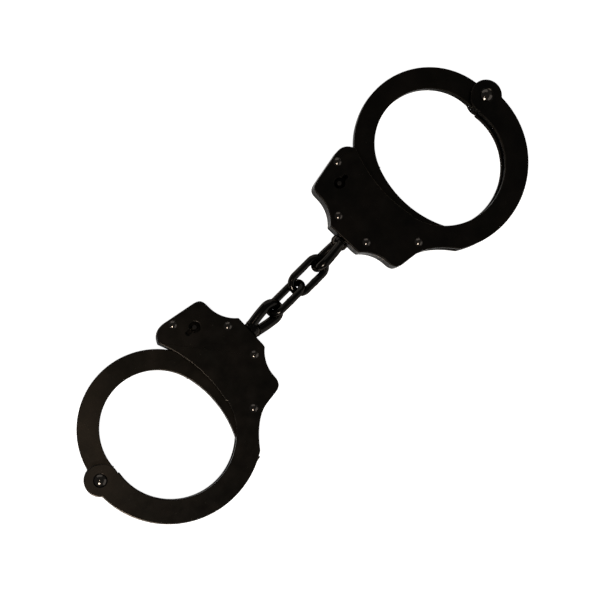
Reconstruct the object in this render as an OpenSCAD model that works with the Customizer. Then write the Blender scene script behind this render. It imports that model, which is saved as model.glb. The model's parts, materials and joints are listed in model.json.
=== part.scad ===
// Swing-through ratchet handcuffs joined by a two-link chain, lying flat, in millimetres.
// +X runs along the chain, +Z is up. The origin is on the resting plane below the middle of the pair.
// Each cuff is drawn in its own frame: pivot of the swinging strand at the origin, +X towards the chain,
// +Y towards the closed single strand, z = 0 at mid thickness. The right cuff mirrors the left one.

/* [Bracelet] */
// Thickness of each cheek plate
plate_t = 2.5; // [2:0.1:3]
// Gap between the two cheek plates
gap = 5.4; // [5.2:0.1:6]
// Clearance between the swinging strand and each cheek plate
side_play = 0.2; // [0.15:0.05:0.3]
// Radius of the plates' knuckle round the strand pivot
knuckle_r = 6.6; // [6:0.1:7]
// Wrist side radius of the double arm
arm_inner_r = 26; // [25:0.5:27]
// Outer radius of the double arm
arm_outer_r = 37.9; // [37:0.1:39]
// Wrist side radius of the single strand
strand_inner_r = 23.6; // [23:0.1:24]
// Outer radius of the single strand
strand_outer_r = 32.5; // [32:0.1:33]
// Angle that each cuff is turned away from the chain line
cuff_yaw = 2; // [0:0.5:4]

/* [Ratchet] */
// Radius of the ratchet tooth tips about the strand pivot
tooth_r = 65.6; // [65:0.1:65.8]
// Depth of a ratchet tooth
tooth_depth = 1.5; // [1.2:0.1:1.6]
// Angle from one ratchet tooth to the next
tooth_pitch = 3; // [3:1:3]
// Number of ratchet teeth on the strand
tooth_count = 14; // [12:1:14]
// Number of teeth on the pawl
pawl_teeth = 3; // [2:1:3]
// Clicks by which the right strand stands further open than the left one
right_clicks = 2; // [0:1:4]

/* [Rivets] */
// Height of every rivet dome above its cheek plate
dome_h = 0.8; // [0.6:0.1:1]
// Radius of the strand pivot rivet
pivot_rivet_r = 2; // [1.8:0.1:2.2]
// Radius of the strand pivot rivet's domed heads
pivot_dome_r = 2.4; // [2.3:0.1:2.8]
// Radius of the countersink round a strand pivot rivet's head
pivot_sink_r = 3; // [2.9:0.1:3.2]
// Radius of a lock case rivet
case_rivet_r = 1.25; // [1.1:0.05:1.3]
// Radius of a lock case rivet's domed heads
case_dome_r = 1.75; // [1.6:0.05:2]
// Radius of the post that guides the key
key_post_r = 1; // [0.9:0.1:1.1]
// Radius of the round part of the keyhole
keyhole_r = 2.2; // [2:0.1:2.4]

/* [Chain] */
// Diameter of the chain link wire
wire_d = 3.1; // [2.8:0.1:3.2]
// Inside length of a chain link
link_inner_l = 14; // [13.5:0.1:15]
// Inside width of a chain link
link_inner_w = 4.8; // [4.6:0.1:5.2]
// Diameter of the swivel eye's bar
eye_d = 4.2; // [3.8:0.1:4.2]
// Distance from the case's end face to the middle of the eye's outer bar
swivel_l = 15.5; // [15:0.1:17]
// Turn of the left swivel's eye about its stem
left_eye_turn = 35; // [0:5:90]
// Turn of the left link about the chain line
left_link_turn = -56; // [-60:1:-50]
// Turn of the right link about the chain line
right_link_turn = 16; // [8:1:20]
// Turn of the right swivel's eye about its stem
right_eye_turn = 108; // [100:1:112]

/* [Hidden] */
$fn = 64;

case_black = "#1d1c1a";
strand_black = "#24221e";
chain_black = "#121214";
rivet_brown = "#2d241c";
spring_blue = "#3a3f4a";

fit = 0.02;          // radial clearance of a fixed rivet or post in its hole
running = 0.05;      // radial clearance of a turning part on its pin or in its bore
part_t = gap - 2 * side_play;
mid_z = dome_h + plate_t + gap / 2;

// Double arm and single strand arcs, in the cuff's frame
arm_inner_c = [33.6, -6.3];
arm_outer_c = [34, -4];
strand_inner_c = [31.2, -0.5];
strand_outer_c = [30.8, -0.6];
toothed_inner_c = [11, -6.3];
toothed_inner_r = 44.7;
arm_shift = [1.4, -0.5];       // second knuckle circle that thickens the wrist side of the pivot
shift_r = knuckle_r - 0.4;

// Lock case outline
case_inner_r = 59.75;          // wrist side edge of the case, about the strand pivot
seat_x = 85.5;                 // end face that the swivel leaves from
axis_y = 2.7;                  // line of the swivel's stem
seat_half = 7.5;
strand_room_r = 66.3;          // everything in the case stays outside this radius

// Rivets and post, in the cuff's frame
pawl_rivet_at = [65, -20.9];
case_rivets_at = [[63.9, 26.1], [80, axis_y + 7.9], [80, axis_y - 7.9]];
key_post_at = [69.8, 19.5];
key_tenon_r = 0.8;
key_post_top = 1.6;            // height of the post's end above the inside of the top plate
sink_depth = 0.4;
key_slot_l = 4.4;
key_slot_w = 1.7;
key_sweep_r = 5.2;
lock_hole_x = 72.9;            // hole in the case's lower edge, in line with the double lock bolt
lock_hole_r = 0.8;
detent_y = -12.5;

// Swivel, along its own stem from the end face
collar_r = 3.65;
collar_gap = 0.2;
collar_l = 2.4;
neck_r = 1.75;
neck_l = 4.1;
head_r = 2.45;
head_l = 2.4;
pocket_l = 3;
pocket_half = 2.9;
eye_r = 3.8;
eye_leg = 2.2;

// Ratchet
first_tooth = -34.6;
root_r = tooth_r - tooth_depth;
mesh_gap = 0.25;
mesh_turn = 0.15;
first_mesh = 10;               // strand tooth that the pawl's first tooth stands behind
flare_angle = 35;

// Chain, along X from the middle of the pair
link_r = (link_inner_w + wire_d) / 2;
link_l = link_inner_l + wire_d;
link_overlap = 3.65;           // between the end bars of two hooked links
eye_overlap = (wire_d + eye_d) / 2 + 0.1;
link_x = (link_l - link_overlap) / 2;
eye_x = link_x + link_l / 2 - eye_overlap;

// Where the cuffs stand
stem_end = [seat_x + swivel_l, axis_y];
function turned(p, a) = [p.x * cos(a) - p.y * sin(a), p.x * sin(a) + p.y * cos(a)];
strand_top = turned(strand_outer_c, right_clicks * tooth_pitch - cuff_yaw).y + strand_outer_r;
arm_bottom = turned(arm_outer_c, -cuff_yaw).y - arm_outer_r;
pivot_x = -eye_x - turned(stem_end, -cuff_yaw).x;
pivot_y = -(strand_top + arm_bottom) / 2;
chain_y = pivot_y + turned(stem_end, -cuff_yaw).y;

// ---- outlines ----

function polar(r, a) = [r * cos(a), r * sin(a)];

// Points along an arc about c, from angle a to angle b
function arc(c, r, a, b, step = 4) =
    let (n = max(1, ceil(abs(b - a) / step)))
    [for (i = [0:n]) c + polar(r, a + (b - a) * i / n)];

// Points along a cubic curve
function curve(p, q, r, s, n = 10) =
    [for (i = [0:n]) let (t = i / n, u = 1 - t)
        u * u * u * p + 3 * u * u * t * q + 3 * u * t * t * r + t * t * t * s];

// Lock case edge, from its lower corner round the swivel's seat to the ear over the strand
function case_edge() = concat(
    curve([55.3, -35.3], [60, -28.5], [65.5, -23.9], [70.5, -23.2]),
    curve([75, -22.5], [78.6, -22.1], [80.1, -21], [80.1, -17.2], 8),
    arc([95.1, -17.2], 15, 180, 131, 5),
    [[seat_x, axis_y - seat_half], [seat_x, axis_y + seat_half]],
    arc([94.6, 22], 15, 231, 180, 5),
    curve([79.6, 22.2], [79.5, 25.6], [78.6, 26.5], [75.2, 27], 8),
    curve([61.5, 29.1], [58.2, 29.5], [56, 28.2], [54.5, 24.5], 8)
);

module knuckle(shift) {
    circle(r = knuckle_r);
    translate(shift) circle(r = shift_r);
}

module plate_outline() {
    polygon(concat(
        arc(arm_outer_c, arm_outer_r, 180, 304),
        case_edge(),
        arc([0, 0], case_inner_r, 24.2, -10.5),
        arc(arm_inner_c, arm_inner_r, -11, -188)
    ));
    knuckle(arm_shift);
}

module strand_outline() {
    tips = [for (k = [0:tooth_count - 1]) first_tooth + k * tooth_pitch];
    difference() {
        union() {
            polygon(concat(
                arc(strand_inner_c, strand_inner_r, 178, 16),
                arc(toothed_inner_c, toothed_inner_r, 16, -41),
                arc([47.2, -35.4], 3.4, -165, -85, 15),
                [for (a = tips, r = [tooth_r, root_r]) polar(r, a)],
                [polar(tooth_r - 0.5, tips[tooth_count - 1] + 2)],
                arc(strand_outer_c, strand_outer_r, flare_angle, 180)
            ));
            knuckle([arm_shift.x, -arm_shift.y]);
        }
        circle(r = pivot_rivet_r + running);
    }
}

module pawl_outline() {
    faces = [for (k = [pawl_teeth - 1:-1:0]) first_tooth + (first_mesh + k) * tooth_pitch + mesh_turn];
    difference() {
        union() {
            polygon(concat(
                [[67.2, -21.3], [69.8, -12], [70.8, 0], [70.6, 10]],
                curve([69.9, 14.6], [69.6, 16.6], [67.3, 16.6], [67.2, 14.6], 8),
                [[67.2, 12], [66.6, 7.5], polar(tooth_r + mesh_gap, faces[0] + tooth_pitch)],
                [for (a = faces, r = [root_r + mesh_gap, tooth_r + mesh_gap]) polar(r, a)],
                [[65.8, -8.5], [65.2, -14], [63.7, -19.6]]
            ));
            translate(pawl_rivet_at) circle(r = 2.3);
        }
        translate(pawl_rivet_at) circle(r = case_rivet_r + running);
    }
}

module keyhole() {
    translate(key_post_at) {
        circle(r = keyhole_r);
        translate([-key_slot_l, -key_slot_w / 2]) square([key_slot_l, key_slot_w]);
    }
}

// ---- one cuff's pieces ----

module slab(z0, t) {
    translate([0, 0, z0]) linear_extrude(t) children();
}

module rivet_holes(r) {
    for (p = case_rivets_at) translate(p) circle(r = r);
}

// Drawn as the top plate, or turned over as the bottom one, which holds the key post's tenon
module cheek_plate(side) {
    color(case_black)
    mirror([0, 0, side > 0 ? 0 : 1])
    difference() {
        slab(gap / 2, plate_t)
        difference() {
            plate_outline();
            circle(r = pivot_rivet_r + fit);
            rivet_holes(case_rivet_r + fit);
            translate(pawl_rivet_at) circle(r = case_rivet_r + fit);
            if (side > 0) keyhole();
            else translate(key_post_at) circle(r = key_tenon_r + fit);
        }
        translate([0, 0, gap / 2 + plate_t - sink_depth])
        cylinder(r1 = pivot_dome_r, r2 = pivot_sink_r, h = sink_depth + 0.01);
    }
}

module cavity() {
    translate(key_post_at) circle(r = key_sweep_r);
    translate(pawl_rivet_at) circle(r = 2.7);
    polygon([
        [60, -24], [64.2, -22.8], [75.5, -19.4], [76.6, -18], [76.6, 16], [74.5, 20.5],
        [66, 22.5], [60, 22.5]
    ]);
}

module lock_frame() {
    color(case_black)
    difference() {
        slab(-gap / 2, gap)
        difference() {
            intersection() {
                polygon(concat([[56, -30]], case_edge(), [[56, 24]]));
                translate([56, -26]) square([40, 60]);
            }
            circle(r = strand_room_r);
            cavity();
            translate([seat_x - neck_l - pocket_l, axis_y - pocket_half])
            square([pocket_l, 2 * pocket_half]);
            rivet_holes(case_rivet_r + fit);
        }
        // stem bore, and the hole that the key's pin pushes the double lock through
        translate([seat_x - neck_l - 1, axis_y, 0]) rotate([0, 90, 0])
        cylinder(r = neck_r + running, h = neck_l + 2);
        translate([lock_hole_x, -26, 0]) rotate([-90, 0, 0])
        cylinder(r = lock_hole_r, h = 10);
    }
}

module ratchet_strand(clicks) {
    color(strand_black)
    rotate([0, 0, clicks * tooth_pitch])
    slab(-part_t / 2, part_t) strand_outline();
}

// A shank with a dome at each end, standing through both cheek plates
module rivet(shank_r, dome_r) {
    half = gap / 2 + plate_t;
    ball_r = (dome_r * dome_r + dome_h * dome_h) / (2 * dome_h);
    sweep = asin(dome_r / ball_r);
    dome = [for (i = [0:6]) let (a = sweep * i / 6)
        [ball_r * sin(a), half + dome_h - ball_r * (1 - cos(a))]];
    color(rivet_brown)
    rotate_extrude()
    polygon(concat(
        dome, [[shank_r, half], [shank_r, -half]],
        [for (i = [6:-1:0]) [dome[i].x, -dome[i].y]]
    ));
}

module pivot_rivet() {
    rivet(pivot_rivet_r, pivot_dome_r);
}

module case_rivets() {
    for (p = case_rivets_at) translate(p) rivet(case_rivet_r, case_dome_r);
}

module pawl_rivet() {
    translate(pawl_rivet_at) rivet(case_rivet_r, case_dome_r);
}

module key_post() {
    color(rivet_brown)
    translate(key_post_at) {
        translate([0, 0, -gap / 2]) cylinder(r = key_post_r, h = gap + key_post_top);
        translate([0, 0, -gap / 2 - plate_t]) cylinder(r = key_tenon_r, h = plate_t + 1);
    }
}

module pawl() {
    color(strand_black)
    slab(-part_t / 2, part_t) pawl_outline();
}

// Leaf spring, flat against the case wall as when the key has lifted the pawl
module pawl_spring() {
    color(spring_blue)
    slab(-2, 4)
    polygon([
        [76.5, -3.6], [76.1, -3.4], [75.5, 0], [75.3, 4], [75.7, 10], [76.2, 13],
        [76.5, 12.9], [76.1, 10], [75.7, 4], [75.9, 0]
    ]);
}

module double_lock_bolt() {
    color(strand_black)
    slab(-2, 4)
    difference() {
        polygon([
            [71.8, -18], [73.3, -18], [73.9, -17], [73.9, -9.6], [73.4, -9], [72.2, -9], [71.8, -9.6]
        ]);
        translate([74.5, detent_y]) circle(r = 0.9);
    }
}

module detent_spring() {
    color(spring_blue)
    slab(-1.5, 3)
    polygon([
        [76.5, -16.5], [76.5, -16], [75.5, -15.2], [74.7, -14], [74.5, detent_y], [75.3, -9],
        [76.5, -7], [76.2, -6.7], [74.9, -8.8], [74.05, detent_y], [74.2, -14.2], [75.1, -15.7]
    ]);
}

// Round bar along a path of points in the XY plane, as one closed ring or with flat ends
module bar(path, r, closed, sides = 16) {
    n = len(path);
    function ahead(i) = path[closed ? (i + 1) % n : min(i + 1, n - 1)];
    function behind(i) = path[closed ? (i + n - 1) % n : max(i - 1, 0)];
    points = [
        for (i = [0:n - 1])
            let (d = ahead(i) - behind(i), s = [d.y, -d.x] / norm(d))
            for (j = [0:sides - 1])
                let (a = 360 * j / sides)
                [path[i].x + r * cos(a) * s.x, path[i].y + r * cos(a) * s.y, r * sin(a)]
    ];
    last = closed ? n - 1 : n - 2;
    walls = [
        for (i = [0:last], j = [0:sides - 1])
            let (k = (i + 1) % n, l = (j + 1) % sides)
            for (face = [
                [i * sides + j, k * sides + l, k * sides + j],
                [i * sides + j, i * sides + l, k * sides + l]
            ]) face
    ];
    ends = closed ? [] : [
        [for (j = [sides - 1:-1:0]) j],
        [for (j = [0:sides - 1]) (n - 1) * sides + j]
    ];
    polyhedron(points, concat(walls, ends));
}

// Eye, collar, neck and trapped head of a swivel, its stem along X from the case's end face
module swivel_body(turn) {
    centre = [swivel_l - eye_r, 0];
    round_to = 100;
    side = concat(
        [[1.2, eye_leg], [2.6, eye_leg]],
        curve([3.4, eye_leg + 0.15], [5, eye_leg + 0.5], [7.6, 3.4], centre + polar(eye_r, round_to), 8)
    );
    color(chain_black)
    rotate([turn, 0, 0]) {
        bar(concat(
            [for (i = [0:len(side) - 2]) side[i]],
            arc(centre, eye_r, round_to, -round_to, 8),
            [for (i = [len(side) - 2:-1:0]) [side[i].x, -side[i].y]]
        ), eye_d / 2, false);
        rotate([0, 90, 0])
        rotate_extrude()
        polygon([
            [0, collar_gap + collar_l + 1], [2.4, collar_gap + collar_l + 1],
            [collar_r, collar_gap + collar_l - 0.4], [collar_r, collar_gap + 0.4],
            [collar_r - 0.4, collar_gap], [neck_r, collar_gap], [neck_r, -neck_l - 0.2],
            [head_r, -neck_l - 0.2], [head_r, -neck_l - head_l], [0, -neck_l - head_l]
        ]);
    }
}

module swivel(turn) {
    translate([seat_x, axis_y, 0]) swivel_body(turn);
}

module chain_link() {
    half = (link_l - 2 * link_r) / 2;
    color(chain_black)
    bar(concat(
        arc([half, 0], link_r, -90, 90, 10),
        [for (i = [1:3]) [half - i * half / 2, link_r]],
        arc([-half, 0], link_r, 90, 270, 10),
        [for (i = [1:3]) [-half + i * half / 2, -link_r]]
    ), wire_d / 2, true);
}

// ---- where everything stands ----

module left() {
    translate([pivot_x, pivot_y, mid_z]) rotate([0, 0, -cuff_yaw]) children();
}

module right() {
    mirror([1, 0, 0]) left() children();
}

module on_chain(x, turn) {
    translate([x, chain_y, mid_z]) rotate([turn, 0, 0]) children();
}

left() cheek_plate(1);  // left_cheek_plate_top
left() cheek_plate(-1);  // left_cheek_plate_bottom
left() lock_frame();  // left_lock_frame
left() ratchet_strand(0);  // left_ratchet_strand
left() pivot_rivet();  // left_pivot_rivet
left() case_rivets();  // left_case_rivets
left() pawl_rivet();  // left_pawl_rivet
left() key_post();  // left_key_post
left() pawl();  // left_pawl
left() pawl_spring();  // left_pawl_spring
left() double_lock_bolt();  // left_double_lock_bolt
left() detent_spring();  // left_detent_spring
left() swivel(left_eye_turn);  // left_swivel
on_chain(-link_x, left_link_turn) chain_link();  // left_chain_link
on_chain(link_x, right_link_turn) chain_link();  // right_chain_link
right() cheek_plate(1);  // right_cheek_plate_top
right() cheek_plate(-1);  // right_cheek_plate_bottom
right() lock_frame();  // right_lock_frame
right() ratchet_strand(right_clicks);  // right_ratchet_strand
right() pivot_rivet();  // right_pivot_rivet
right() case_rivets();  // right_case_rivets
right() pawl_rivet();  // right_pawl_rivet
right() key_post();  // right_key_post
right() pawl();  // right_pawl
right() pawl_spring();  // right_pawl_spring
right() double_lock_bolt();  // right_double_lock_bolt
right() detent_spring();  // right_detent_spring
right() swivel(right_eye_turn);  // right_swivel
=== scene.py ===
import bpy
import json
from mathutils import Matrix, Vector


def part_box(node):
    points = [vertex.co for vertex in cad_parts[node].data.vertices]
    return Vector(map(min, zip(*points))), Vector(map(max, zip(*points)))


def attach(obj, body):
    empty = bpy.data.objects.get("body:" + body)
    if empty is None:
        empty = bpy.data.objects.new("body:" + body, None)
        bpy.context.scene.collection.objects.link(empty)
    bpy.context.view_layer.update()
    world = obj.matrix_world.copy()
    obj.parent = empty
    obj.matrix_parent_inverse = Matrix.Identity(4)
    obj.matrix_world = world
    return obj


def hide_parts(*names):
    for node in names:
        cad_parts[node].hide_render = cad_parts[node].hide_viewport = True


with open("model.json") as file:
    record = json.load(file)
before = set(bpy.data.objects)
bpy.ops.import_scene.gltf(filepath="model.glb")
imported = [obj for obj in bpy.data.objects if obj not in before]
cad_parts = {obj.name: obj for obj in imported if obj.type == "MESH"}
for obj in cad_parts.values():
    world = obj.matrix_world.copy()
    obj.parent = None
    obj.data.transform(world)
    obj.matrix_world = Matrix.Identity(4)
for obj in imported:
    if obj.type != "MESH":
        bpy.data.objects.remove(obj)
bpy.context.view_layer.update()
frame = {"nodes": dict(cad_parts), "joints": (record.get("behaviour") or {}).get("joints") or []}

import json
import math

import bmesh
import bpy
from mathutils import Matrix, Vector

# All lengths are in metres. The cuffs lie on the floor, z = 0, with the chain along X.
MM = 0.001


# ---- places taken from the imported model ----

def joint(name):
    return next(j for j in frame["joints"] if j["name"] == name)


def middle(node):
    low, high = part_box(node)
    return (low + high) / 2


def cuff_frame(side):
    """Axes of one cuff: X from its pivot towards the chain, Y across, Z up (mirrored on the right)."""
    pivot = Vector(joint(side + "_strand_pivot")["pos_m"])
    along = Vector(joint(side + "_swivel_spin")["axis"])
    along.z = 0
    if along.x * pivot.x > 0:
        along.negate()
    along.normalize()
    across = Vector((-along.y, along.x, 0))
    if across.y < 0:
        across.negate()
    frame_matrix = Matrix.Identity(4)
    for i, column in enumerate((along, across, Vector((0, 0, 1)), pivot)):
        frame_matrix.col[i][:3] = column
    return frame_matrix


# ---- materials ----

class Nodes:
    """Short names for making a material's nodes."""

    def __init__(self, name):
        self.material = bpy.data.materials.new(name)
        self.material.use_nodes = True
        self.tree = self.material.node_tree
        self.shader = self.tree.nodes["Principled BSDF"]
        coordinates = self.tree.nodes.new("ShaderNodeTexCoord")
        self.place = coordinates.outputs["Object"]

    def link(self, output, node, socket):
        self.tree.links.new(output, node.inputs[socket])

    def noise(self, per_metre, detail=3.0, roughness=0.5, stretch=(1, 1, 1), offset=0.0):
        mapping = self.tree.nodes.new("ShaderNodeMapping")
        mapping.inputs["Scale"].default_value = [s * per_metre for s in stretch]
        mapping.inputs["Location"].default_value = (offset, offset, offset)
        self.link(self.place, mapping, "Vector")
        node = self.tree.nodes.new("ShaderNodeTexNoise")
        node.inputs["Scale"].default_value = 1.0
        node.inputs["Detail"].default_value = detail
        node.inputs["Roughness"].default_value = roughness
        self.link(mapping.outputs[0], node, "Vector")
        return node.outputs["Fac"]

    def spread(self, value, low, high, to_low=0.0, to_high=1.0):
        node = self.tree.nodes.new("ShaderNodeMapRange")
        for socket, number in zip((1, 2, 3, 4), (low, high, to_low, to_high)):
            node.inputs[socket].default_value = number
        self.link(value, node, 0)
        return node.outputs[0]

    def math(self, kind, a, b):
        node = self.tree.nodes.new("ShaderNodeMath")
        node.operation = kind
        node.use_clamp = True
        for socket, value in enumerate((a, b)):
            if isinstance(value, (int, float)):
                node.inputs[socket].default_value = value
            else:
                self.link(value, node, socket)
        return node.outputs[0]

    def mix(self, factor, a, b):
        node = self.tree.nodes.new("ShaderNodeMix")
        node.data_type = "RGBA"
        self.link(factor, node, 0)
        for socket, value in ((6, a), (7, b)):
            if isinstance(value, tuple):
                node.inputs[socket].default_value = (*value, 1)
            else:
                self.link(value, node, socket)
        return node.outputs[2]

    def edges(self, radius):
        """1 on an edge, 0 on a flat: how far a rounded normal turns from the true one."""
        rounded = self.tree.nodes.new("ShaderNodeBevel")
        rounded.samples = 4
        rounded.inputs["Radius"].default_value = radius
        true = self.tree.nodes.new("ShaderNodeNewGeometry")
        dot = self.tree.nodes.new("ShaderNodeVectorMath")
        dot.operation = "DOT_PRODUCT"
        self.link(rounded.outputs[0], dot, 0)
        self.link(true.outputs["Normal"], dot, 1)
        return self.spread(dot.outputs["Value"], 0.995, 0.86)

    def bump(self, height, depth, strength=1.0, under=None):
        node = self.tree.nodes.new("ShaderNodeBump")
        node.inputs["Strength"].default_value = strength
        node.inputs["Distance"].default_value = depth
        self.link(height, node, "Height")
        if under is not None:
            self.link(under, node, "Normal")
        return node.outputs[0]


def blackened_steel(name, dark, brown, worn, gloss, wear, grain_depth, grazing=0.25):
    """Black-oxide steel: cloudy black and brown, a fine grain, rubbed edges, specks and fine scratches."""
    n = Nodes(name)
    clouds = n.spread(n.noise(70, 4), 0.38, 0.66)
    mottle = n.spread(n.noise(600, 3), 0.35, 0.7)
    colour = n.mix(clouds, dark, brown)
    colour = n.mix(n.math("MULTIPLY", mottle, 0.35), colour, brown)
    rubbed = n.math("MULTIPLY", n.edges(0.35 * MM), n.spread(n.noise(260, 5, 0.7), 0.42, 0.62))
    specks = n.spread(n.noise(1500, 2, 0.5, offset=3.0), 0.735, 0.76)
    scratches = n.spread(n.noise(90, 6, 0.75, stretch=(1, 26, 1), offset=7.0), 0.66, 0.70)
    marks = n.math("MAXIMUM", n.math("MULTIPLY", rubbed, wear), n.math("MULTIPLY", specks, 0.6))
    marks = n.math("MAXIMUM", marks, n.math("MULTIPLY", scratches, wear * 0.25))
    n.link(n.mix(marks, colour, worn), n.shader, "Base Color")
    n.shader.inputs["Metallic"].default_value = 1.0
    rough = n.spread(n.noise(180, 4, offset=11.0), 0.3, 0.7, gloss[0], gloss[1])
    n.link(rough, n.shader, "Roughness")
    n.shader.inputs["Specular Tint"].default_value = (grazing, grazing, grazing, 1)
    grain = n.bump(n.noise(2600, 3, 0.6), grain_depth, 0.5)
    n.link(n.bump(n.noise(220, 2), 4 * grain_depth, 0.35, grain), n.shader, "Normal")
    return n.material


def rubbed_rivet(name):
    """A rivet's blackened steel, lighter and more reflective than the plates, with cloudy tone and patchy
    gloss.
    """
    n = Nodes(name)
    cloud = n.spread(n.noise(900, 4), 0.35, 0.7)
    patch = n.spread(n.noise(1700, 2, offset=5.0), 0.3, 0.6)
    colour = n.mix(cloud, (0.10, 0.087, 0.076), (0.15, 0.13, 0.112))
    n.link(colour, n.shader, "Base Color")
    n.shader.inputs["Metallic"].default_value = 1.0
    n.link(n.spread(patch, 0, 1, 0.09, 0.15), n.shader, "Roughness")
    n.link(n.bump(n.noise(1100, 2), 0.003 * MM, 0.5), n.shader, "Normal")
    return n.material


MATERIALS = {
    "case_steel": blackened_steel(
        "case_steel", (0.024, 0.022, 0.019), (0.036, 0.030, 0.025), (0.15, 0.13, 0.11),
        (0.23, 0.32), 0.7, 0.012 * MM),
    "strand_steel": blackened_steel(
        "strand_steel", (0.025, 0.022, 0.018), (0.038, 0.031, 0.025), (0.15, 0.13, 0.105),
        (0.24, 0.33), 0.6, 0.010 * MM),
    "chain_steel": blackened_steel(
        "chain_steel", (0.024, 0.022, 0.020), (0.036, 0.032, 0.028), (0.12, 0.108, 0.095),
        (0.12, 0.20), 0.5, 0.010 * MM),
    "rivet_steel": rubbed_rivet("rivet_steel"),
    "spring_steel": blackened_steel(
        "spring_steel", (0.10, 0.10, 0.11), (0.14, 0.14, 0.15), (0.30, 0.30, 0.31),
        (0.20, 0.30), 0.6, 0.006 * MM),
}


# ---- CAD nodes that keep their shape: rounded edges and a material ----

WELD_GAP = 0.002 * MM
FLAT_WITHIN = math.radians(0.4)
EDGE_FROM = math.radians(38)
FACE_WEIGHT = 60

# How wide each edge is rounded, and in how many steps
EDGE_ROUNDING = {
    "cheek_plate_top": (0.42 * MM, 3),
    "cheek_plate_bottom": (0.42 * MM, 3),
    "lock_frame": (0.12 * MM, 2),
    "ratchet_strand": (0.30 * MM, 3),
    "pawl": (0.12 * MM, 2),
    "double_lock_bolt": (0.12 * MM, 2),
    "key_post": (0.20 * MM, 3),
}


def finish_node(name, node):
    slot = node.material_slots[0].material.name.split(".")[0]
    node.material_slots[0].material = MATERIALS[slot]
    kind = name.split("_", 1)[1]
    weld = node.modifiers.new("weld", "WELD")
    weld.merge_threshold = WELD_GAP
    if kind in EDGE_ROUNDING:
        flat = node.modifiers.new("flat_faces", "DECIMATE")
        flat.decimate_type = "DISSOLVE"
        flat.angle_limit = FLAT_WITHIN
        width, segments = EDGE_ROUNDING[kind]
        rounding = node.modifiers.new("rounding", "BEVEL")
        rounding.width = width
        rounding.segments = segments
        rounding.limit_method = "ANGLE"
        rounding.angle_limit = EDGE_FROM
        rounding.use_clamp_overlap = False
        rounding.miter_outer = "MITER_ARC"
    smooth = node.modifiers.new("even_normals", "WEIGHTED_NORMAL")
    smooth.keep_sharp = True
    smooth.weight = FACE_WEIGHT


for name, node in frame["nodes"].items():
    finish_node(name, node)


# ---- chain: links and swivels in fine smooth rings, in place of the CAD's plain bars ----

WIRE_R = 1.55 * MM
LINK_BEND_R = 3.95 * MM
LINK_HALF = 4.6 * MM
WELD_BEAD = 0.09 * MM
WELD_BEAD_WIDTH = 0.8 * MM
EYE_BAR_R = 2.1 * MM
EYE_R = 3.8 * MM
EYE_END = 15.5 * MM
SKIN_VOXEL = 0.16 * MM
# Turn of each piece about the chain's line, in degrees
LINK_TURN = {"left": -56, "right": 16}
EYE_TURN = {"left": 35, "right": 108}
UP = Vector((0, 0, 1))


def arc(centre, radius, start, end, steps):
    angles = [math.radians(start + (end - start) * i / steps) for i in range(steps + 1)]
    return [Vector(centre) + radius * Vector((math.cos(a), math.sin(a), 0)) for a in angles]


def add_bar(form, path, radii, closed, sides=36):
    """A round bar whose centre line is a path in the XY plane, with a radius for each point."""
    count = len(path)
    rings = []
    for i, point in enumerate(path):
        ahead = path[(i + 1) % count] if closed else path[min(i + 1, count - 1)]
        behind = path[i - 1] if closed or i else path[0]
        along = (ahead - behind).normalized()
        outward = Vector((along.y, -along.x, 0))
        turns = [2 * math.pi * k / sides for k in range(sides)]
        rings.append([
            form.verts.new(point + radii[i] * (math.cos(a) * outward + math.sin(a) * UP))
            for a in turns])
    for i in range(count if closed else count - 1):
        first, second = rings[i], rings[(i + 1) % count]
        for k in range(sides):
            form.faces.new((first[k], first[k - 1], second[k - 1], second[k]))
    if not closed:
        form.faces.new(rings[0])
        form.faces.new(list(reversed(rings[-1])))


def add_piece(name, form, place, node, body):
    """Puts a finished form where a CAD node is, and lets it stand for that node."""
    form.transform(place)
    bmesh.ops.recalc_face_normals(form, faces=form.faces)
    for face in form.faces:
        face.smooth = True
    mesh = bpy.data.meshes.new(name)
    form.to_mesh(mesh)
    form.free()
    mesh.materials.append(MATERIALS["chain_steel"])
    piece = bpy.data.objects.new(name, mesh)
    bpy.context.scene.collection.objects.link(piece)
    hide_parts(node)
    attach(piece, body)
    return piece


def bezier(start, control_a, control_b, end, steps):
    shares = [i / steps for i in range(steps + 1)]
    return [
        start * (1 - t) ** 3 + 3 * control_a * t * (1 - t) ** 2
        + 3 * control_b * t * t * (1 - t) + end * t ** 3
        for t in shares]


def chain_link(side):
    """A stadium of round wire, with a low bead where its ends are butt-welded."""
    straight = [LINK_HALF - 2 * LINK_HALF * i / 16 for i in range(1, 16)]
    path = arc((LINK_HALF, 0, 0), LINK_BEND_R, -90, 90, 28)
    path += [Vector((x, LINK_BEND_R, 0)) for x in straight]
    path += arc((-LINK_HALF, 0, 0), LINK_BEND_R, 90, 270, 28)
    path += [Vector((-x, -LINK_BEND_R, 0)) for x in straight]
    radii = [
        WIRE_R + (WELD_BEAD * math.exp(-(p.x / WELD_BEAD_WIDTH) ** 2) if p.y < 0 else 0)
        for p in path]
    form = bmesh.new()
    add_bar(form, path, radii, closed=True)
    node = side + "_chain_link"
    turn = Matrix.Rotation(math.radians(LINK_TURN[side]), 4, "X")
    place = Matrix.Translation(middle(node)) @ turn
    add_piece(side + "_welded_link", form, place, node, side + "_link")


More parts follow.
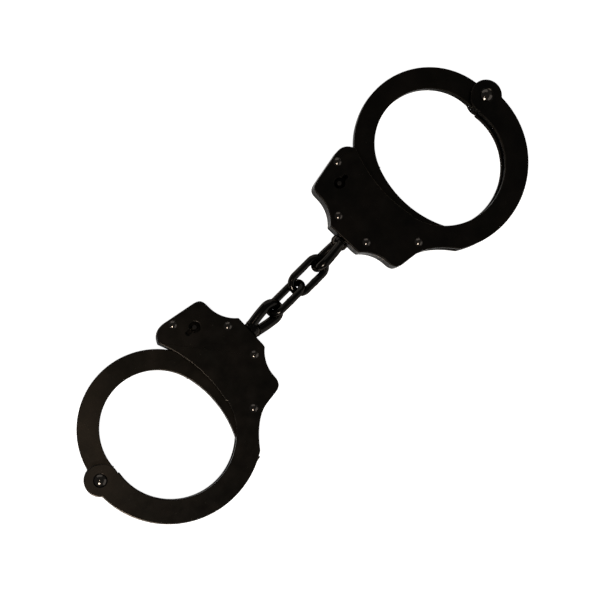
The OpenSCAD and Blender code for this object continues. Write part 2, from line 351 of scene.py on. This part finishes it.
def swivel(side):
    """Forged eye on a collar, neck and head: two overlapping bars, blended into one skin."""
    centre = Vector((EYE_END - EYE_R, 0, 0))
    bow = arc(centre, EYE_R, 100, -100, 40)
    leg = [Vector((1.4, 2.2, 0)) * MM, Vector((2.6, 2.2, 0)) * MM]
    shoulder = [Vector(p) * MM for p in ((3.4, 2.35, 0), (5, 2.7, 0), (7.6, 3.4, 0))]
    leg += bezier(*shoulder, bow[0], 14)[:-1]
    path = leg + bow + [Vector((p.x, -p.y, 0)) for p in reversed(leg)]
    form = bmesh.new()
    add_bar(form, path, [EYE_BAR_R] * len(path), closed=False)
    stem = [
        (-6.5, 2.3), (-6.3, 2.45), (-4.4, 2.45), (-4.3, 2.3), (-4.2, 1.7), (0.1, 1.7), (0.2, 3.3),
        (0.5, 3.65), (2.3, 3.65), (3.3, 3.1), (4.0, 2.2), (4.6, 1.0)]
    stem_path = [Vector((x, 0, 0)) * MM for x, _ in stem]
    add_bar(form, stem_path, [r * MM for _, r in stem], closed=False)
    place = cuff_frame(side)
    place.translation = Vector(joint(side + "_swivel_spin")["pos_m"])
    place = place @ Matrix.Rotation(math.radians(EYE_TURN[side]), 4, "X")
    node, body = side + "_swivel", side + "_swivel_eye"
    piece = add_piece(side + "_forged_swivel", form, place, node, body)
    skin = piece.modifiers.new("one_skin", "REMESH")
    skin.mode = "VOXEL"
    skin.voxel_size = SKIN_VOXEL
    skin.use_smooth_shade = True
    blend = piece.modifiers.new("blend", "SMOOTH")
    blend.factor = 0.5
    blend.iterations = 5


chain_link("left")
chain_link("right")
swivel("left")
swivel("right")


# ---- floor, light and camera ----

def aim(thing, place, target):
    thing.location = place
    back = (Vector(place) - Vector(target)).normalized()
    thing.rotation_euler = back.to_track_quat("Z", "Y").to_euler()


FLOOR_GLOW = 0.94
FLOOR_DROP = 0.02 * MM
FLOOR_SIZE = 6.0


def pale_paper():
    n = Nodes("pale_paper")
    tone = n.spread(n.noise(9, 3), 0.3, 0.7)
    n.link(n.mix(tone, (0.86, 0.86, 0.86), (0.88, 0.88, 0.88)), n.shader, "Base Color")
    n.shader.inputs["Roughness"].default_value = 0.9
    n.shader.inputs["Specular IOR Level"].default_value = 0.1
    n.shader.inputs["Emission Color"].default_value = (1, 1, 1, 1)
    n.shader.inputs["Emission Strength"].default_value = FLOOR_GLOW
    return n.material


def floor(size):
    mesh = bpy.data.meshes.new("floor")
    form = bmesh.new()
    bmesh.ops.create_grid(form, x_segments=4, y_segments=4, size=size / 2)
    form.to_mesh(mesh)
    form.free()
    mesh.materials.append(pale_paper())
    plane = bpy.data.objects.new("floor", mesh)
    bpy.context.scene.collection.objects.link(plane)
    plane.location.z = -FLOOR_DROP


floor(FLOOR_SIZE)


def softbox(name, place, width, height, power, target=(0, 0, 0), colour=(1, 1, 1)):
    light = bpy.data.lights.new(name, "AREA")
    light.shape = "RECTANGLE"
    light.size = width
    light.size_y = height
    light.energy = power
    light.color = colour
    lamp = bpy.data.objects.new(name, light)
    bpy.context.scene.collection.objects.link(lamp)
    aim(lamp, place, target)


# A small key makes the rivets' highlights, and a lamp beside the camera the sheen on the left cuff
softbox("key", (-0.75, -0.35, 1.0), 0.30, 0.26, 9.0, colour=(1, 0.93, 0.84))
softbox("fill", (1.2, 1.6, 1.0), 2.4, 1.5, 5)
softbox("side", (0.8, -1.8, 1.0), 2.4, 1.5, 5)
softbox(
    "lamp", (-0.155, 0.045, 0.72), 0.03, 0.03, 0.085, (-0.05, 0.0, 0.0), colour=(1, 0.86, 0.70))

WORLD_LIGHT = 0.07
world = bpy.data.worlds.new("studio")
world.use_nodes = True
world.node_tree.nodes["Background"].inputs["Color"].default_value = (1, 1, 1, 1)
world.node_tree.nodes["Background"].inputs["Strength"].default_value = WORLD_LIGHT
bpy.context.scene.world = world
bpy.context.scene.view_settings.view_transform = "Standard"

# The camera looks down past the left cuff's outer edge, turned so that the chain runs up to the right
VIEW_TARGET = Vector((-3.7, -0.9, 11.0)) * MM
VIEW_BACK = Vector((-0.136, 0.035, 1.0)).normalized()
VIEW_DISTANCE = 0.80
VIEW_TURN = math.radians(45)
VIEW_WIDTH = 0.2450
SENSOR = 36


def camera():
    chain = Vector((1, 0, 0))
    level = (chain - chain.dot(VIEW_BACK) * VIEW_BACK).normalized()
    above = VIEW_BACK.cross(level)
    right = math.cos(VIEW_TURN) * level - math.sin(VIEW_TURN) * above
    up = math.sin(VIEW_TURN) * level + math.cos(VIEW_TURN) * above
    lens = bpy.data.cameras.new("camera")
    lens.sensor_width = SENSOR
    lens.lens = SENSOR * VIEW_DISTANCE / VIEW_WIDTH
    lens.clip_start = 0.01
    eye = bpy.data.objects.new("camera", lens)
    bpy.context.scene.collection.objects.link(eye)
    matrix = Matrix.Identity(4)
    for i, column in enumerate((right, up, VIEW_BACK, VIEW_TARGET + VIEW_DISTANCE * VIEW_BACK)):
        matrix.col[i][:3] = column
    eye.matrix_world = matrix
    bpy.context.scene.camera = eye


camera()
